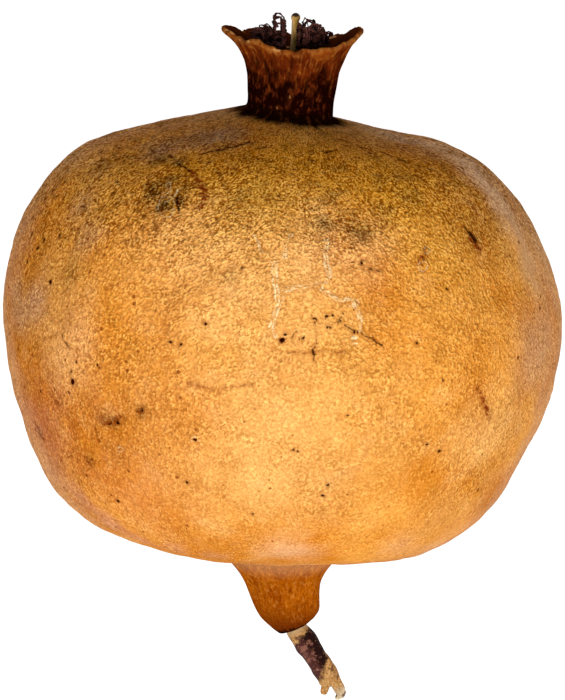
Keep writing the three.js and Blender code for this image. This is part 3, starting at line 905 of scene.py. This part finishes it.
# Lines: a first pixel, then each further one with half the width of the stretch that ends there.
# Black ones and reddish ones
CRACKS = [
    (465, 228, 469, 233, 0.3), (470, 233, 475, 240, 0.62), (61, 333, 64, 341, 0.16, 70, 347, 0.2),
    (315, 322, 317, 340, 0.15, 313, 352, 0.15), (313, 346, 314, 361, 0.16),
    (343, 326, 360, 333, 0.16, 382, 345, 0.18), (292, 338, 296, 331, 0.12),
    (369, 269, 379, 272, 0.14), (339, 323, 341, 318, 0.15), (326, 153, 336, 150, 0.24),
    (415, 165, 430, 170, 0.24), (178, 198, 177, 206, 0.36, 179, 212, 0.3),
    (157, 207, 159, 213, 0.2), (163, 157, 170, 156, 0.3, 178, 164, 0.24, 190, 171, 0.24),
    (312, 350, 315, 356, 0.3), (255, 149, 268, 147, 0.2), (108, 424, 111, 423, 0.2),
    (140, 412, 142, 411, 0.2), (338, 139, 351, 143, 0.24), (360, 147, 371, 150, 0.26),
    (381, 152, 394, 157, 0.24), (399, 159, 409, 163, 0.2), (199, 154, 222, 150, 0.3, 250, 143, 0.3),
]
SCRATCHES = [
    (104, 425, 112, 422, 0.2), (114, 421, 121, 417, 0.24), (138, 412, 145, 410, 0.26),
    (36, 424, 39, 430, 0.26), (39, 433, 44, 439, 0.34), (52, 396, 58, 403, 0.2),
    (84, 456, 90, 464, 0.24), (288, 353, 318, 352, 0.1, 345, 353, 0.1),
    (188, 384, 212, 389, 0.14, 252, 385, 0.06), (477, 388, 484, 402, 0.35, 490, 419, 0.45),
    (190, 171, 199, 182, 0.4, 204, 190, 0.5, 205, 198, 0.55, 201, 207, 0.45),
    (425, 250, 421, 262, 0.4), (471, 240, 479, 249, 0.45),
]
# Pale strands of the rough ring and the streaks round it, each drawn as two threads
STRANDS = [
    (274, 262, 275, 281, 0.36, 277, 297, 0.34, 279, 305, 0.36, 275, 316, 0.36, 271, 327, 0.36,
     277, 338, 0.2),
    (283, 297, 279, 306, 0.2),
    (282, 291, 295, 287, 0.3, 305, 286, 0.3, 315, 285, 0.26, 321, 281, 0.2),
    (321, 288, 330, 294, 0.26, 337, 299, 0.26, 352, 300, 0.24, 357, 310, 0.24, 361, 320, 0.26,
     360, 332, 0.2),
    (326, 240, 326, 262, 0.34, 330, 276, 0.4, 324, 284, 0.2),
    (284, 258, 286, 246, 0.3, 291, 233, 0.18), (254, 234, 262, 252, 0.16),
    (353, 340, 356, 340, 0.5),
]
# Pale ridges beside the whorl; where the crown's rim is torn, and two painted glints on the crown
RIDGES = [
    (175, 196, 178, 190, 0.16, 182, 188, 0.14), (162, 193, 170, 192, 0.14),
    (181, 169, 187, 168, 0.16),
]
TORN_RIM_AND_GLINTS = [
    (274, 50, 280, 51, 0.2), (287, 47, 298, 46, 0.24), (300, 45, 308, 44, 0.12),
    (323, 41, 334, 37, 0.34), (240, 40, 250, 42, 0.12), (226, 30, 234, 34, 0.2),
    # The last two: painted glints on the crown's wall
    (277, 107, 277, 108, 0.05), (290, 96, 290, 97, 0.05),
]
# Pale rings: pixel across and down, radii across and down
RINGS = [
    (166, 206, 1.25, 1.9), (166, 199, 0.45, 0.4), (169, 186, 0.4, 0.55), (427, 250, 0.45, 0.5),
    (423, 266, 0.8, 0.8), (120, 449, 0.4, 0.4), (195, 440, 0.55, 0.5), (352, 303, 1.0, 0.5),
]


def marks_on_skin(tree):
    """Every mark as (start, end, half-width, softness, strength, colour), broad and fine apart."""

    def at(pixel):
        return picture_point(*pixel, tree)

    def stretches(lines):
        for x, y, *rest in lines:
            for next_x, next_y, half in zip(rest[::3], rest[1::3], rest[2::3]):
                yield np.array([x, y]), np.array([next_x, next_y]), half
                x, y = next_x, next_y

    def drawn(lines, share, *look):
        return [(at(start), at(end), half * share, *look) for start, end, half in stretches(lines)]

    broad = drawn(SCRATCHES, 1, 0.3, 0.95, REDDISH)
    for start, end, half in stretches(STRANDS):
        along = end - start
        aside = np.array([-along[1], along[0]]) / np.hypot(*along) * half * 0.65 / PIXEL_AT_CENTRE
        for side in (-aside, aside):
            broad.append((at(start + side), at(end + side), half * 0.42, 0.18, 1.0, PALE))

    fine = []
    turns = TURN * np.arange(RING_SIDES + 1) / RING_SIDES
    for across, down, wide, high in RINGS:
        x = across + wide / PIXEL_AT_CENTRE * np.cos(turns)
        y = down + high / PIXEL_AT_CENTRE * np.sin(turns)
        ring = [at(pixel) for pixel in zip(x, y)]
        fine += [(a, b, 0.08, 0.14, 0.6, PALE) for a, b in zip(ring, ring[1:])]
    fine += drawn(RIDGES, 0.8, 0.12, 0.8, PALE) + drawn(TORN_RIM_AND_GLINTS, 1, 0.12, 0.8, TORN_SKIN_AND_GLINT)
    spots = [(x, y, x, y, radius) for x, y, radius in SPOTS]
    fine += drawn(spots, 1, 0.14, 1.0, BLACK) + drawn(CRACKS, 0.7, 0.12, 0.9, BLACK)
    return broad, fine


def store_marks(mesh, layer, marks):
    """Gives each face the mark nearest to it, so that a material can draw it at any fineness."""
    centres = np.array([p.center for p in mesh.polygons]) / MM
    starts = np.array([mark[0] for mark in marks])
    along = np.array([mark[1] for mark in marks]) - starts
    measures = np.array([mark[2:5] for mark in marks])
    tints = np.array([colour(mark[5]) for mark in marks])
    offset = centres[:, None, :] - starts[None]
    share = np.clip((offset * along).sum(-1) / np.maximum((along**2).sum(1), 1e-9), 0, 1)
    away = norm(offset - share[..., None] * along, axis=-1) - measures[:, :2].sum(1)
    nearest = away.argmin(1)
    own = measures[nearest]
    own[:, 2] *= away.min(1) < MARK_MARGIN
    for key, values in zip(MARK_FIELDS, (starts[nearest], along[nearest], own, tints[nearest])):
        store(mesh, f"{layer}_{key}", values, "FACE")


def drawn_marks(shade, at, layer):
    """The mask of a layer of marks, the mask of a rim round them, and their colour."""
    names = [f"{layer}_{key}" for key in MARK_FIELDS]
    start, along, measure, tint = shade.stored(*names, output="Vector")
    half, soft, strength = (shade.channel(measure, k) for k in range(3))
    offset = shade.vector("SUBTRACT", at, start)
    length = shade.math("MAXIMUM", shade.vector("DOT_PRODUCT", along, along), 1e-6)
    share = shade.math("DIVIDE", shade.vector("DOT_PRODUCT", offset, along), length, clamp=True)
    away = shade.vector("DISTANCE", offset, shade.vector("SCALE", along, scale=share))
    mask = shade.ramp(away, half + soft, half - soft) * strength
    halo = shade.ramp(away, half + soft + HALO_WIDTH, half + soft) * strength
    return mask, halo, tint


def paint_ground(mesh, tree):
    """The rind's broad colours with their painted sheen, and how strong its grain is, for each
    vertex.
    """
    places = np.array([v.co for v in mesh.vertices]) / MM
    waver = lumps(places, 6, 1.0) + lumps(places, 2.5, 0.6)
    spread = 0.5 + lumps(places, 17, 0.5) + lumps(places, 8, 0.3)
    ground = colour(GROUND_DARK) * np.ones_like(places)

    def away(across, down):
        return norm(places - np.array(picture_point(across, down, tree)), axis=1)

    def paint(share, tint):
        ground[:] += share[:, None] * (colour(tint) - ground)

    paint(ease(spread, 0.3, 0.7), GROUND_LIGHT)
    for across, down, radius, tint, strength in AREAS:
        far = away(across, down) / radius + 0.25 * waver
        paint(strength / 100 * ease(-far, -1.3, 0), tint)
    # Painted sheen: pale pinkish grey on the sides from the middle's height down, less underneath
    depth = -(places[:, 2] + 3 * waver)
    paint(0.65 * ease(depth, -61, -45) * (1 - 0.6 * ease(depth, -40, -22)), EDGE_SHEEN)
    store(mesh, "ground", ground)

    # How strong the grain is, and so its painted shade and highlight: more towards the crown's side
    far = places[:, 1]
    rough = 0.55 + 0.27 * ease(far, -34, 10) + 1.3 * ease(far, 8, 32)
    rough += lumps(places, 11, 0.2)
    for across, down, radius, more in ROUGHER:
        rough += more * ease(-away(across, down), -radius, 0)
    store(mesh, "rough", np.clip(rough, *ROUGH_LIMITS))


def rind(fruit):
    mesh = fruit.data
    places, faces = [v.co / MM for v in mesh.vertices], [p.vertices for p in mesh.polygons]
    tree = BVHTree.FromPolygons(places, faces)
    for layer, marks in zip(("broad", "fine"), marks_on_skin(tree)):
        store_marks(mesh, layer, marks)
    paint_ground(mesh, tree)

    shade = Shade("rind", 0.5, 0.0)
    at, mix, ramp = shade.mm, shade.mix, shade.ramp
    ground, fibre, peel = shade.stored("ground", "fibre", "peel", output="Vector")
    neck, calyx, inside, rough = shade.stored("neck", "calyx", "inside", "rough")

    # Body: the painted ground, mottled, and freckled towards the left
    middle = shade.noise(at, 4.5, 4, 0.6)
    fine = shade.noise(at, 1.1, 3, 0.6)
    small = shade.noise(at, 1.3, 2, 0.5)
    freckled = ramp(shade.channel(at, 0), 5, -32)
    spotted = ramp(rough, 0.8, 1.7) + freckled * 0.5
    body = shade.coats(
        ground,
        (ramp(middle, 0.47, 0.7) * rough * 0.33, "a46410"),
        (ramp(middle, 0.5, 0.25, 0, 0.15), "ffce8e"),
        (ramp(small, 0.55, 0.68) * spotted * 0.5, "74390a"),
        (ramp(small, 0.45, 0.3) * spotted * 0.3, "ffb43c"),
    )

    # Peel: a leathery grain with painted shade in its creases and painted highlights on its tops
    bent = shade.jolted(peel, at, 3.0, 0.8)
    beads, _ = shade.cells(bent, 0.44)
    grain = (
        (0.45 - beads) * 0.6
        + (shade.noise(bent, 0.3, 1) - 0.5) * 0.7
        + (shade.noise(bent, 0.6, 2, 0.6) - 0.5) * 0.8
        + (fine - 0.5) * 0.3
    )
    patchy = rough * ramp(shade.noise(at, 2.4, 3, 0.6), 0.34, 0.66, 0.68, 1.3)
    body = mix(ramp(grain, 0.05, -0.3) * patchy * 0.6, body, "b09250", "MULTIPLY")
    body = mix(ramp(grain, 0, 0.3) * patchy, body, (0.26, 0.2, 0.06, 1), "ADD")

    # Lenticels: scattered dark specks, one in some of the cells
    speck_far, speck_kind = shade.cells(bent, 1.6)
    size = ramp(shade.channel(speck_kind, 0) + freckled * 0.3, 0.5, 1.3, 0, 0.18)
    speck = ramp(speck_far - size, 0.05, -0.03)
    body = mix(ramp(fine, 0.5, 0.7) * (freckled * 0.35 + 0.12), body, "a85a18")
    body = mix(speck * 0.75, body, "7c3206")

    # Foot of the crown: the shoulder turns a mottled dark brown close round the crown's base
    def fibrous(share, *kind):
        """A noise that is drawn out along the fibres."""
        return shade.noise(shade.vector("MULTIPLY", fibre, (1, 1, share)), *kind)

    streak, thin = fibrous(0.22, 0.9, 4, 0.65), fibrous(0.22, 0.36, 2, 0.6)
    blot, spots = fibrous(0.5, 2.1, 4, 0.6), fibrous(0.7, 0.8, 3, 0.6)
    crown_middle = tuple(laid_down([CROWN_SHIFT, 0, SHOULDER_HEIGHT + 2]) / MM)
    from_crown = shade.vector("DISTANCE", at, crown_middle) + (blot - 0.5) * 4 + grain * 0.7
    foot = mix(ramp(spots, 0.5, 0.75), "1c0702", "6a3410")
    body = mix(ramp(from_crown, 10.2, 7.8), body, foot)

    # Neck: a stronger orange, speckled, with a dark collar at its end
    dashes = fibrous(0.7, 0.5, 3, 0.65)
    necked = shade.coats(
        "a04a02",
        (ramp(blot, 0.35, 0.65), "be6408"),
        (ramp(dashes, 0.5, 0.74, 0, 0.6), "e09440"),
        (ramp(dashes, 0.5, 0.28, 0, 0.75), "7a3000"),
        (ramp(neck + (blot - 0.5) * 0.5, 0.55, 0.88) * 0.85, "762c06"),
        (ramp(neck + (spots - 0.5) * 0.3, 0.86, 0.97), "240a04"),
    )

    # Crown: orange-brown with dark blots and streaks, nearly black at its base
    grown = calyx + (blot - 0.5) * 1.3 + (spots - 0.5) * 0.7 + (thin - 0.5) * 0.2
    hollow = mix(ramp(calyx + (blot - 0.5) * 0.6, 0.6, 1.0), "160503", "461c08")
    crown = shade.coats(
        "160301",
        (ramp(spots, 0.5, 0.72), "58240c"),
        (ramp(grown, 0.25, 0.85), "602206"),
        (ramp(grown, 0.7, 1.15), "8a4410"),
        (ramp(streak, 0.46, 0.3, 0, 0.7), "1c0602"),
        # Painted highlights: pale streaks along the fibres, as glints on the crown's ribs
        (ramp(thin, 0.5, 0.8) * ramp(grown, 0.3, 0.9) * 0.4, "b4742e"),
        (ramp(spots, 0.56, 0.74) * ramp(grown, 0.55, 1.0) * 0.5, "b0702c"),
        (ramp(calyx + (spots - 0.5) * 0.4, 0.94, 1.06) * 0.5, "a87034"),
        (inside, hollow),
    )
    on_crown = ramp(calyx, 0, 0.06)

    # Marks, over everything else
    warped = shade.jolted(at, at, 1.3, 0.95, 3)
    broken = ramp(shade.noise(at, 0.7, 3), 0.42, 0.54, 0.3, 1.0)
    broad, broad_halo, broad_tint = drawn_marks(shade, warped, "broad")
    dark, dark_halo, dark_tint = drawn_marks(shade, warped, "fine")
    base = shade.coats(
        body,
        (ramp(neck, 0.1, 0.34), necked),
        (on_crown, crown),
        (broad_halo * 0.15, "8a4a10"),
        (broad * broken, broad_tint),
        (dark_halo * 0.25, "7a3c0a"),
        (dark, dark_tint),
    )

    # Relief, finer than the mesh's own
    height = grain * rough * 0.38 + middle * 0.25 + fine * 0.15 - speck * 0.06
    height = height * (1 - on_crown) + (streak * 0.4 + thin * 0.3 + blot * 0.4) * on_crown
    return shade.finish(base, height + broad * 0.06, 1.0)


def stalk_wood():
    shade = Shade("stalk_wood", 0.75, 0.08)
    ramp = shade.ramp
    along, side = shade.stored("along", "side")
    coarse = shade.noise(shade.mm, 1.5, 4, 0.6)
    fine = shade.noise(shade.mm, 0.4, 3, 0.6)
    wood = shade.coats(
        "9c6c38",
        (ramp(fine, 0.35, 0.7), "cea268"),
        (ramp(along, 0.82, 1.0), "ccb898"),
        (ramp(coarse, 0.56, 0.66, 0, 0.8), "4a2410"),
        (ramp(along, 0.1, 0.02), "b8946a"),
    )

    # Bark: from just past the neck to where it has worn off, which is farther down on one side
    reach = along + (coarse - 0.5) * 0.3
    bark = ramp(reach + side * 0.02, 0.1, 0.15) * ramp(reach + side * 0.07, 0.64, 0.54)
    dark = shade.coats(
        "482420",
        (ramp(side + (fine - 0.5) * 2, -0.6, 0.6), "200804"),
        (ramp(coarse, 0.54, 0.64, 0, 0.85), "86584a"),
        (ramp(fine, 0.6, 0.72, 0, 0.6), "b88a5a"),
    )
    height = bark * 0.25 + coarse * 0.4 + fine * 0.25
    return shade.finish(shade.mix(bark, wood, dark), height, 1.0)


def dry_filament():
    shade = Shade("dry_filament", 0.7, 0.05)
    mix, ramp = shade.mix, shade.ramp
    anther, up = shade.stored("anther", "up")
    fine = shade.noise(shade.mm, 0.45, 2)
    strand = mix(ramp(up + (fine - 0.5) * 0.5, 0.55, 1.0), "240806", "5a342e")
    crumb = mix(ramp(up + (fine - 0.5) * 0.7, 0.6, 1.1), "1c0605", "4c2820")
    return shade.finish(mix(ramp(anther, 0.2, 0.5), strand, crumb), fine * 0.2, 0.8)


def dry_style():
    """Lighter on its left-hand side, dark at its tip."""
    shade = Shade("dry_style", 0.6, 0.05)
    ramp, (along,) = shade.ramp, shade.stored("along")
    fine = shade.noise(shade.vector("MULTIPLY", shade.mm, (1, 0.3, 1)), 0.4, 3)
    middle = CROWN_SHIFT + CROWN_LEAN * (STYLE_TOP - SHOULDER_HEIGHT - 4)
    base = shade.coats(
        "94702a",
        (ramp(fine, 0.35, 0.7), "c89c58"),
        (ramp(shade.channel(shade.mm, 0) - middle, 0.1, -0.5, 0, 0.6), "ecc48c"),
        (ramp(along + (fine - 0.5) * 0.05, 0.955, 0.985), "2c2018"),
    )
    return shade.finish(base, fine * 0.12, 0.8)


# ---- scene

make_camera()
make_studio()
fruit = make_fruit()
fruit.data.materials.append(rind(fruit))
make_stem().data.materials.append(stalk_wood())
make_stamens().data.materials.append(dry_filament())
make_style().data.materials.append(dry_style())

bpy.context.view_layer.update()
